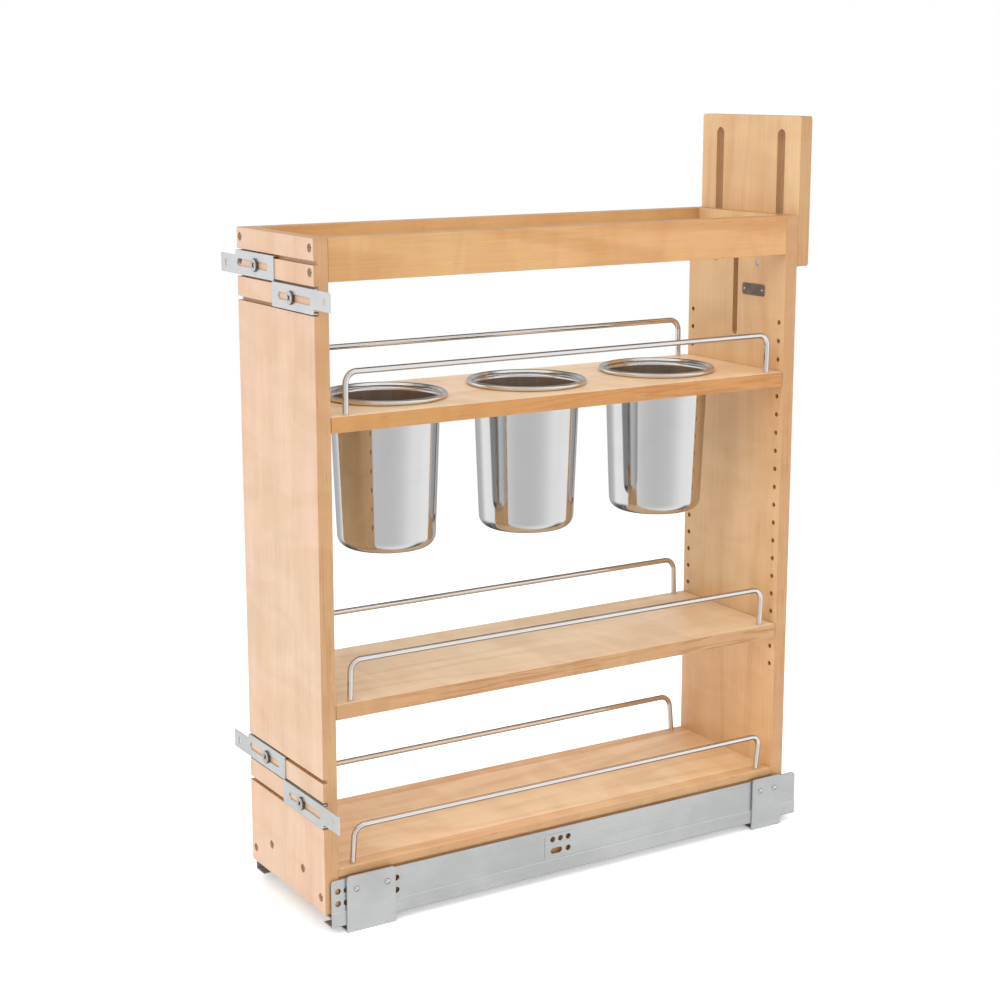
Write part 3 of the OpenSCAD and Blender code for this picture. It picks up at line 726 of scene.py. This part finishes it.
def dress(piece, *materials):
    """Give a piece its materials in order."""
    piece.data.materials.clear()
    for material in materials:
        piece.data.materials.append(material)


def copy_of_node(node, name):
    """A piece of its own with a CAD node's shape: doubles merged and flat faces joined."""
    pick(frame["nodes"][node])
    bpy.ops.object.duplicate(linked=False)
    piece = bpy.context.active_object
    piece.name = name
    piece.data.name = name
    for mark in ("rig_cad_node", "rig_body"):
        if mark in piece:
            del piece[mark]
    bpy.ops.object.mode_set(mode="EDIT")
    bpy.ops.mesh.select_all(action="SELECT")
    bpy.ops.mesh.remove_doubles(threshold=MERGE)
    bpy.ops.mesh.dissolve_limited(angle_limit=FLAT)
    bpy.ops.object.mode_set(mode="OBJECT")
    if piece.data.has_custom_normals:
        bpy.ops.mesh.customdata_custom_splitnormals_clear()
    return piece


def outer_edge(edge, low, high):
    """True for an edge of the piece's bounding box."""
    planes = 0
    for axis in range(3):
        for limit in (low[axis], high[axis]):
            if all(abs(end.co[axis] - limit) < SAME_PLANE for end in edge.verts):
                planes += 1
    return planes >= 2


def sharp_edge(edge):
    """True for an outward corner between two faces."""
    if len(edge.link_faces) != 2 or not edge.is_convex:
        return False
    return edge.calc_face_angle(0.0) > SHARP


def ease(piece, width, steps=2, outline_only=True):
    """Round the piece's edges over and keep its faces flat in the light."""
    pick(piece)
    bpy.ops.object.mode_set(mode="EDIT")
    bpy.ops.mesh.select_mode(type="EDGE")
    bpy.ops.mesh.select_all(action="DESELECT")
    mesh = bmesh.from_edit_mesh(piece.data)
    low = [min(vert.co[axis] for vert in mesh.verts) for axis in range(3)]
    high = [max(vert.co[axis] for vert in mesh.verts) for axis in range(3)]
    for edge in mesh.edges:
        wanted = sharp_edge(edge)
        if wanted and outline_only:
            wanted = outer_edge(edge, low, high)
        edge.select_set(wanted)
    bmesh.update_edit_mesh(piece.data)
    bpy.ops.mesh.bevel(offset=width, segments=steps, affect="EDGES", clamp_overlap=False)
    bpy.ops.mesh.select_mode(type="VERT")
    bpy.ops.object.mode_set(mode="OBJECT")
    soften(piece)


def soften(piece, angle=40.0):
    """Smooth shading that keeps flat faces flat."""
    pick(piece)
    bpy.ops.object.shade_smooth_by_angle(angle=math.radians(angle))
    bpy.ops.object.modifier_add(type="WEIGHTED_NORMAL")
    bpy.context.object.modifiers[-1].keep_sharp = True
    bpy.ops.object.modifier_apply(modifier=bpy.context.object.modifiers[-1].name)


def centred(low, high):
    """Middle of a box."""
    return (low + high) / 2


def raise_ring(place, turned, segments, name):
    """Turn a closed shell: a filled disc is raised and resized through (radius, height) rings."""
    clear_selection()
    first = turned[0]
    base = Vector((place.x, place.y, place.z + first[1]))
    bpy.ops.mesh.primitive_circle_add(
        vertices=segments, radius=first[0], fill_type="NGON", location=base, enter_editmode=True
    )
    bpy.ops.mesh.select_all(action="SELECT")
    for (r0, z0), (r1, z1) in zip(turned, turned[1:]):
        bpy.ops.mesh.extrude_region_move(TRANSFORM_OT_translate={"value": (0, 0, z1 - z0)})
        middle = (place.x, place.y, place.z + z1)
        bpy.ops.transform.resize(value=(r1 / r0, r1 / r0, 1), center_override=middle)
    bpy.ops.mesh.select_all(action="SELECT")
    bpy.ops.mesh.normals_make_consistent(inside=False)
    bpy.ops.object.mode_set(mode="OBJECT")
    piece = bpy.context.active_object
    piece.name = name
    piece.data.name = name
    bpy.ops.object.transform_apply(location=True, rotation=True, scale=True)
    return piece


def arc(middle_r, middle_z, radius, start, end, steps):
    """Points of an arc in a turned outline: angles in degrees from the radius's direction."""
    points = []
    for step in range(steps + 1):
        angle = math.radians(start + (end - start) * step / steps)
        points.append((middle_r + radius * math.cos(angle), middle_z + radius * math.sin(angle)))
    return points


# ---------------------------------------------------------------- operators


class PULLOUT_OT_stage(bpy.types.Operator):
    """Set up the camera, the soft studio light and the pale floor"""

    bl_idname = "pullout.stage"
    bl_label = "Stage"

    floor_radius = 14
    floor_drop = 0.0002

    def execute(self, context):
        stage = context.scene.pullout_stage
        clear_selection()
        bpy.ops.object.camera_add(
            location=stage.camera_place,
            rotation=(math.pi / 2 - stage.camera_drop, 0, stage.camera_turn),
        )
        camera = context.active_object
        camera.name = "studio_camera"
        camera.data.sensor_width = 36
        camera.data.lens = stage.camera_lens
        camera.data.shift_y = stage.camera_shift
        camera.data.clip_start = 0.05
        camera.data.clip_end = 100
        context.scene.camera = camera

        bpy.ops.mesh.primitive_circle_add(
            vertices=96,
            radius=self.floor_radius,
            fill_type="NGON",
            location=(0, 0, -self.floor_drop),
        )
        floor = context.active_object
        floor.name = "studio_floor"
        dress(floor, floor_finish("studio_paper", stage.floor))
        floor.visible_glossy = False

        for name, (place, size, share) in LAMPS.items():
            self.lamp(name, place, size, stage.key_power * share)
        self.room(context, stage.room_light)
        context.scene.view_settings.view_transform = "Standard"
        return {"FINISHED"}

    @staticmethod
    def lamp(name, place, size, power):
        """A large square lamp that looks at the middle of the object."""
        clear_selection()
        aim = LAMP_AIM - Vector(place)
        turn = aim.to_track_quat("-Z", "Y").to_euler()
        bpy.ops.object.light_add(type="AREA", location=place, rotation=turn)
        made = bpy.context.active_object
        made.name = name + "_lamp"
        made.data.size = size
        made.data.energy = power
        made.visible_glossy = False

    @staticmethod
    def room(context, strength):
        """Even white surroundings; polished metal sees a studio that dims behind the object,
        most of all above and below it."""
        world = bpy.data.worlds.new("studio_room")
        context.scene.world = world
        world.use_nodes = True
        tree = world.node_tree
        surround = tree.nodes["Background"]
        coords = tree.nodes.new("ShaderNodeTexCoord")
        toward = put(tree, "ShaderNodeVectorMath", operation="DOT_PRODUCT")
        toward.inputs[1].default_value = BRIGHT_SIDE
        tree.links.new(coords.outputs["Generated"], toward.inputs[0])
        half = sums(tree, "MULTIPLY_ADD", toward.outputs["Value"], 0.5)
        half.node.inputs[2].default_value = 0.5
        walls = tree.nodes.new("ShaderNodeValToRGB")
        walls.color_ramp.interpolation = "EASE"
        while len(walls.color_ramp.elements) < len(WALLS):
            walls.color_ramp.elements.new(0.5)
        for mark, (where, bright) in zip(walls.color_ramp.elements, WALLS):
            mark.position = where
            mark.color = (bright, bright, bright, 1.0)
        tree.links.new(half, walls.inputs[0])
        height = tree.nodes.new("ShaderNodeSeparateXYZ")
        tree.links.new(coords.outputs["Generated"], height.inputs[0])
        steep = spread(tree, sums(tree, "ABSOLUTE", height.outputs["Z"]), 0.30, 0.62)
        behind = spread(tree, half, 0.60, 0.44)
        dimmed = sums(tree, "MULTIPLY", sums(tree, "MULTIPLY", steep, behind), 0.85)
        flag = sums(tree, "SUBTRACT", 1.0, dimmed)
        seen = blended(tree, 1.0, walls.outputs["Color"], (1.0, 1.0, 1.0), "MULTIPLY")
        tree.links.new(flag, seen.node.inputs[7])
        path = tree.nodes.new("ShaderNodeLightPath")
        even = sums(tree, "MULTIPLY", sums(tree, "SUBTRACT", 1.0, path.outputs["Is Camera Ray"]), strength)
        even = sums(tree, "ADD", even, path.outputs["Is Camera Ray"])
        gloss = path.outputs["Is Glossy Ray"]
        shown = blended(tree, gloss, (1.0, 1.0, 1.0), seen)
        level = sums(tree, "MULTIPLY", even, sums(tree, "SUBTRACT", 1.0, gloss))
        shine = sums(tree, "MULTIPLY", gloss, GLOSS_LIGHT)
        tree.links.new(sums(tree, "ADD", level, shine), surround.inputs["Strength"])
        tree.links.new(shown, surround.inputs["Color"])


class PULLOUT_OT_boards(bpy.types.Operator):
    """Make the maple boards with sanded edges and grain that follows each board"""

    bl_idname = "pullout.boards"
    bl_label = "Boards"

    def execute(self, context):
        wood = context.scene.pullout_wood
        for number, (node, (body, grain, thick, tone, *figure)) in enumerate(BOARDS.items()):
            piece = copy_of_node(node, node + "_board")
            ease(piece, wood.ease, outline_only=node != "height_board")
            veneer = getattr(wood, tone)
            back = wood.inner if node == "front_panel" else veneer
            edge = wood.warm_edge if node == "utensil_shelf" else wood.edge
            tones = (veneer, back, edge)
            banded = node == "bottom_shelf"
            dress(piece, maple("maple_" + node, grain, thick, tones, number + 1, figure, banded))
            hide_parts(node)
            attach(piece, body)
        return {"FINISHED"}


class PULLOUT_OT_bins(bpy.types.Operator):
    """Turn the three utensil bins with rolled rims, mirror outside and satin inside"""

    bl_idname = "pullout.bins"
    bl_label = "Utensil bins"

    rim_reach = 0.0072
    taper = 0.0052
    bead_r = 0.0026
    foot_round = 0.012
    wall = 0.0012
    hub_r = 0.012
    ring_r = 0.030
    finish_drop = 0.003

    def outline(self, rim_r, depth):
        """Closed outline of a bin from the middle of its foot, outside first."""
        top_r = rim_r - self.rim_reach
        corner = top_r - self.taper - self.foot_round
        bead_x = rim_r - self.bead_r
        bead_z = depth + self.bead_r
        inner = self.foot_round - self.wall
        points = [(self.hub_r, 0.0), (self.ring_r, 0.0)]
        points += arc(corner, self.foot_round, self.foot_round, -90, 0, 10)
        points += [(top_r - 0.0004, depth - 0.009), (top_r, depth - 0.0022)]
        points += arc(top_r + 0.0022, depth - 0.0022, 0.0022, 180, 100, 5)
        points += [(bead_x - 0.0022, depth + 0.0004)]
        points += arc(bead_x, bead_z, self.bead_r, -100, 160, 18)
        points += [(bead_x - 0.0034, depth + 0.0024), (top_r + 0.0016, depth + 0.0011)]
        points += arc(top_r + 0.0022, depth - 0.0022, 0.0022 + self.wall, 100, 180, 6)
        points += [(top_r - self.wall - 0.0004, depth - 0.012)]
        points += arc(corner, self.foot_round, inner, 0, -90, 10)
        points += [(self.ring_r, self.wall), (self.hub_r, self.wall)]
        return points

    def execute(self, context):
        metal = context.scene.pullout_metal
        upright = (34.0, 34.0, 1.1)
        polished = bright_metal("polished_stainless", metal.stainless, metal.polish, upright, 0.03, BIN_RIM)
        # The inside's dark brown colour is painted shade and a painted reflection of the wood.
        inside = satin_steel("shaded_satin_stainless", metal.satin)
        rolled = bright_metal("rim_stainless", (0.72, 0.71, 0.70), 0.20, rim=BIN_RIM)
        shelf_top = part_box("utensil_shelf")[1].z
        for node in BINS:
            low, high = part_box(node)
            place = centred(low, high)
            place.z = low.z
            depth = shelf_top - low.z
            outline = self.outline((high.x - low.x) / 2, depth)
            piece = raise_ring(place, outline, metal.bin_steps, node + "_shell")
            dress(piece, polished, inside, rolled)
            self.split_finish(piece, place, depth)
            soften(piece, 50.0)
            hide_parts(node)
            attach(piece, node)
        return {"FINISHED"}

    def split_finish(self, piece, place, depth):
        """The inner wall and the inner foot take the second finish, the rolled rim the third."""
        for face in piece.data.polygons:
            out = Vector((face.center.x - place.x, face.center.y - place.y, 0))
            up = face.center.z - place.z
            turned_in = out.length > 1e-6 and face.normal.dot(out.normalized()) < -0.3
            inner_foot = face.normal.z > 0.3 and up < depth * 0.5
            below_rim = up < depth - self.finish_drop
            if (turned_in and below_rim) or inner_foot:
                face.material_index = 1
            elif not below_rim:
                face.material_index = 2


class PULLOUT_OT_rails(bpy.types.Operator):
    """Bend the six chrome wire rails, each leaning out over its shelf's edge"""

    bl_idname = "pullout.rails"
    bl_label = "Wire rails"

    bend = 0.011
    bend_steps = 10
    sink = 0.004
    foot_x = 0.076
    weld = 0.00001

    def execute(self, context):
        metal = context.scene.pullout_metal
        lengthwise = (500.0, 9.0, 500.0)
        # The chrome's dark glancing tint is a painted shade along the wire's outlines.
        chrome = bright_metal("chrome_wire", (0.70, 0.68, 0.665), 0.08, lengthwise, 0.006, WIRE_RIM)
        for node, (shelf, body) in RAILS.items():
            piece = self.wire(node, shelf, metal.wire_radius, metal.wire_sides)
            dress(piece, chrome)
            soften(piece, 50.0)
            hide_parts(node)
            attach(piece, body)
        return {"FINISHED"}

    def wire(self, node, shelf, radius, sides):
        """One rail: up, round, along, round and down, then leaned outwards."""
        low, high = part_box(node)
        side = 1 if low.x > 0 else -1
        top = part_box(shelf)[1].z
        front, rear = low.y + radius, high.y - radius
        foot = self.foot_x * side
        reach = high.x if side > 0 else -low.x
        lean = self.lean(reach - self.foot_x, high.z - top, radius)
        peak = top + self.height(high.z - top, lean, radius)
        corner = peak - self.bend
        clear_selection()
        bpy.ops.mesh.primitive_circle_add(
            vertices=sides,
            radius=radius,
            fill_type="NGON",
            location=(foot, front, top - self.sink),
            enter_editmode=True,
        )
        bpy.ops.mesh.select_all(action="SELECT")
        self.grow((0, 0, corner - top + self.sink))
        self.turn((foot, front + self.bend, corner))
        self.grow((0, rear - front - 2 * self.bend, 0))
        self.turn((foot, rear - self.bend, corner))
        self.grow((0, 0, top - self.sink - corner))
        bpy.ops.mesh.select_all(action="SELECT")
        bpy.ops.mesh.remove_doubles(threshold=self.weld)
        bpy.ops.mesh.normals_make_consistent(inside=False)
        bpy.ops.object.mode_set(mode="OBJECT")
        piece = bpy.context.active_object
        piece.name = node + "_wire"
        piece.data.name = piece.name
        bpy.ops.object.transform_apply(location=True, rotation=True, scale=True)
        bpy.ops.object.mode_set(mode="EDIT")
        bpy.ops.mesh.select_all(action="SELECT")
        bpy.ops.transform.rotate(
            value=-lean * side,
            orient_axis="Y",
            orient_type="GLOBAL",
            center_override=(foot, 0, top),
        )
        bpy.ops.object.mode_set(mode="OBJECT")
        return piece

    @staticmethod
    def lean(over, rise, radius):
        """Angle that carries the wire's middle out by the reach at the rail's top."""
        return math.atan2(over - radius, rise - radius)

    @staticmethod
    def height(rise, lean, radius):
        """Length of the leaning leg up to the top wire's middle."""
        return (rise - radius) / math.cos(lean)

    @staticmethod
    def grow(step):
        """Lengthen the wire."""
        bpy.ops.mesh.extrude_region_move(TRANSFORM_OT_translate={"value": step})

    def turn(self, middle):
        """Bend the wire a quarter turn about a cross axis."""
        bpy.ops.mesh.spin(steps=self.bend_steps, angle=math.pi / 2, center=middle, axis=(1, 0, 0))


class PULLOUT_OT_slides(bpy.types.Operator):
    """Round the edges and bends of the sheet steel slides and floor brackets and zinc them"""

    bl_idname = "pullout.slides"
    bl_label = "Slides and brackets"

    step_z = 0.0225
    bend = 0.0014
    long_edge = 0.1
    same_level = 0.00005

    def execute(self, context):
        metal = context.scene.pullout_metal
        zinc = zinc_sheet("galvanised_sheet", metal.zinc, 0.40, 0.5, 0.22)
        plain = zinc_sheet("bracket_sheet", metal.zinc, 0.38, 0.35, 0.08)
        for node in PROFILES + INNER_SLIDES + BRACKETS:
            piece = copy_of_node(node, node + "_sheet")
            if node in PROFILES:
                self.round_bends(piece)
            ease(piece, metal.sheet_ease, outline_only=False)
            dress(piece, plain if node in BRACKETS else zinc)
            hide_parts(node)
            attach(piece, body_of(node))
        return {"FINISHED"}

    def round_bends(self, piece):
        """Round the profile's two outer bends: the step over its foot and the floor corner."""
        pick(piece)
        bpy.ops.object.mode_set(mode="EDIT")
        bpy.ops.mesh.select_mode(type="EDGE")
        bpy.ops.mesh.select_all(action="DESELECT")
        mesh = bmesh.from_edit_mesh(piece.data)
        outer = max(abs(vert.co.x) for vert in mesh.verts)
        floor = min(vert.co.z for vert in mesh.verts)
        for edge in mesh.edges:
            long = edge.calc_length() > self.long_edge
            out = all(abs(abs(end.co.x) - outer) < self.same_level for end in edge.verts)
            level = edge.verts[0].co.z
            at_bend = min(abs(level - self.step_z), abs(level - floor)) < self.same_level
            edge.select_set(long and out and at_bend and sharp_edge(edge))
        bmesh.update_edit_mesh(piece.data)
        bpy.ops.mesh.bevel(offset=self.bend, segments=4, affect="EDGES", clamp_overlap=False)
        bpy.ops.mesh.select_mode(type="VERT")
        bpy.ops.object.mode_set(mode="OBJECT")


class PULLOUT_OT_clips(bpy.types.Operator):
    """Round the edges of the four door clips"""

    bl_idname = "pullout.clips"
    bl_label = "Door clips"

    def execute(self, context):
        metal = context.scene.pullout_metal
        zinc = zinc_sheet("clip_sheet", tuple(part * 1.22 for part in metal.zinc), 0.32, 0.3, 0.06)
        for node in CLIPS:
            piece = copy_of_node(node, node + "_sheet")
            ease(piece, metal.sheet_ease, outline_only=False)
            dress(piece, zinc)
            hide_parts(node)
            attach(piece, node)
        return {"FINISHED"}


class PULLOUT_OT_fixings(bpy.types.Operator):
    """Finish the screws, bolts, pins and rivets, and round the heads of the cam screws"""

    bl_idname = "pullout.fixings"
    bl_label = "Fixings"

    def execute(self, context):
        zinc = zinc_sheet("zinc_hardware", (0.45, 0.43, 0.405), 0.34, 0.2)
        for node in ZINC_FIXINGS:
            dress(frame["nodes"][node], zinc)
        polish = ((0.64, 0.63, 0.62), 0.20, (300.0, 300.0, 300.0), 0.05)
        # The rivet and cam heads get a painted shade round their sides through head_axis.
        dress(frame["nodes"]["bracket_rivets"], bright_metal("rivet_steel", *polish, head_axis=X))
        cam_steel = bright_metal("cam_steel", *polish, head_axis=Y)
        dress(frame["nodes"]["plate_rivets"], cam_steel)
        cams = copy_of_node("clip_cams", "clip_cam_heads")
        ease(cams, SMALL_EASE, outline_only=False)
        dress(cams, cam_steel)
        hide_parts("clip_cams")
        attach(cams, body_of("clip_cams"))
        return {"FINISHED"}


class PULLOUT_OT_plastics(bpy.types.Operator):
    """Round and colour the dampers and release locks, and finish the roller strips"""

    bl_idname = "pullout.plastics"
    bl_label = "Dampers, locks and rollers"

    def execute(self, context):
        dark = moulded("dark_plastic", (0.075, 0.078, 0.082), 0.42)
        for node in PLASTICS:
            piece = copy_of_node(node, node + "_moulding")
            ease(piece, SMALL_EASE, outline_only=False)
            dress(piece, dark)
            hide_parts(node)
            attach(piece, body_of(node))
        nylon = moulded("nylon", (0.80, 0.78, 0.72), 0.45, 600.0)
        for node in ROLLERS:
            dress(frame["nodes"][node], nylon)
        return {"FINISHED"}


class PULLOUT_OT_name_plate(bpy.types.Operator):
    """Make the small blank plate with a raised rim"""

    bl_idname = "pullout.name_plate"
    bl_label = "Name plate"

    corner = 0.003
    rim = 0.0009
    sunk = 0.00025
    edge = 0.00008

    def execute(self, context):
        low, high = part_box("name_plate")
        place = centred(low, high)
        clear_selection()
        bpy.ops.mesh.primitive_cube_add(size=1, location=place)
        piece = context.active_object
        piece.name = "name_plate_face"
        piece.data.name = piece.name
        piece.scale = high - low
        bpy.ops.object.transform_apply(location=True, rotation=True, scale=True)
        bpy.ops.object.mode_set(mode="EDIT")
        bpy.ops.mesh.select_mode(type="EDGE")
        bpy.ops.mesh.select_all(action="DESELECT")
        mesh = bmesh.from_edit_mesh(piece.data)
        for edge in mesh.edges:
            along_y = abs(edge.verts[0].co.y - edge.verts[1].co.y)
            edge.select_set(along_y > 0.0001)
        bmesh.update_edit_mesh(piece.data)
        bpy.ops.mesh.bevel(offset=self.corner, segments=8, affect="EDGES")
        bpy.ops.mesh.select_mode(type="FACE")
        bpy.ops.mesh.select_all(action="DESELECT")
        mesh = bmesh.from_edit_mesh(piece.data)
        for face in mesh.faces:
            face.select_set(face.normal.y < -0.9)
        bmesh.update_edit_mesh(piece.data)
        bpy.ops.mesh.inset(thickness=self.rim, depth=0)
        bpy.ops.mesh.inset(thickness=self.sunk, depth=-self.sunk)
        bpy.ops.mesh.inset(thickness=self.rim * 1.3, depth=0)
        bpy.ops.mesh.inset(thickness=self.sunk, depth=self.sunk * 0.7)
        bpy.ops.mesh.select_mode(type="VERT")
        bpy.ops.object.mode_set(mode="OBJECT")
        ease(piece, self.edge, outline_only=False)
        dress(piece, plate_paint("plate_enamel"))
        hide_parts("name_plate")
        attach(piece, body_of("name_plate"))
        return {"FINISHED"}


def body_of(node):
    """Name of the body that a CAD node belongs to."""
    bodies = frame["record"]["behaviour"]["bodies"]
    return next(body for body, members in bodies.items() if node in members)


class PULLOUT_PT_panel(bpy.types.Panel):
    """Lists the steps that build the pull-out"""

    bl_idname = "PULLOUT_PT_panel"
    bl_label = "Cabinet Pull-out"
    bl_space_type = "VIEW_3D"
    bl_region_type = "UI"
    bl_category = "Pull-out"

    def draw(self, context):
        for step in STEPS:
            self.layout.operator(step.bl_idname)


STEPS = (
    PULLOUT_OT_stage,
    PULLOUT_OT_boards,
    PULLOUT_OT_bins,
    PULLOUT_OT_rails,
    PULLOUT_OT_slides,
    PULLOUT_OT_clips,
    PULLOUT_OT_fixings,
    PULLOUT_OT_plastics,
    PULLOUT_OT_name_plate,
)
SETTINGS = (PulloutWood, PulloutMetal, PulloutStage)


def register():
    for made in SETTINGS + STEPS + (PULLOUT_PT_panel,):
        bpy.utils.register_class(made)
    bpy.types.Scene.pullout_wood = PointerProperty(type=PulloutWood)
    bpy.types.Scene.pullout_metal = PointerProperty(type=PulloutMetal)
    bpy.types.Scene.pullout_stage = PointerProperty(type=PulloutStage)


def unregister():
    del bpy.types.Scene.pullout_stage
    del bpy.types.Scene.pullout_metal
    del bpy.types.Scene.pullout_wood
    for made in reversed(SETTINGS + STEPS + (PULLOUT_PT_panel,)):
        bpy.utils.unregister_class(made)


def main():
    register()
    bpy.ops.pullout.stage()
    bpy.ops.pullout.boards()
    bpy.ops.pullout.bins()
    bpy.ops.pullout.rails()
    bpy.ops.pullout.slides()
    bpy.ops.pullout.clips()
    bpy.ops.pullout.fixings()
    bpy.ops.pullout.plastics()
    bpy.ops.pullout.name_plate()
    clear_selection()


if __name__ == "__main__":
    main()
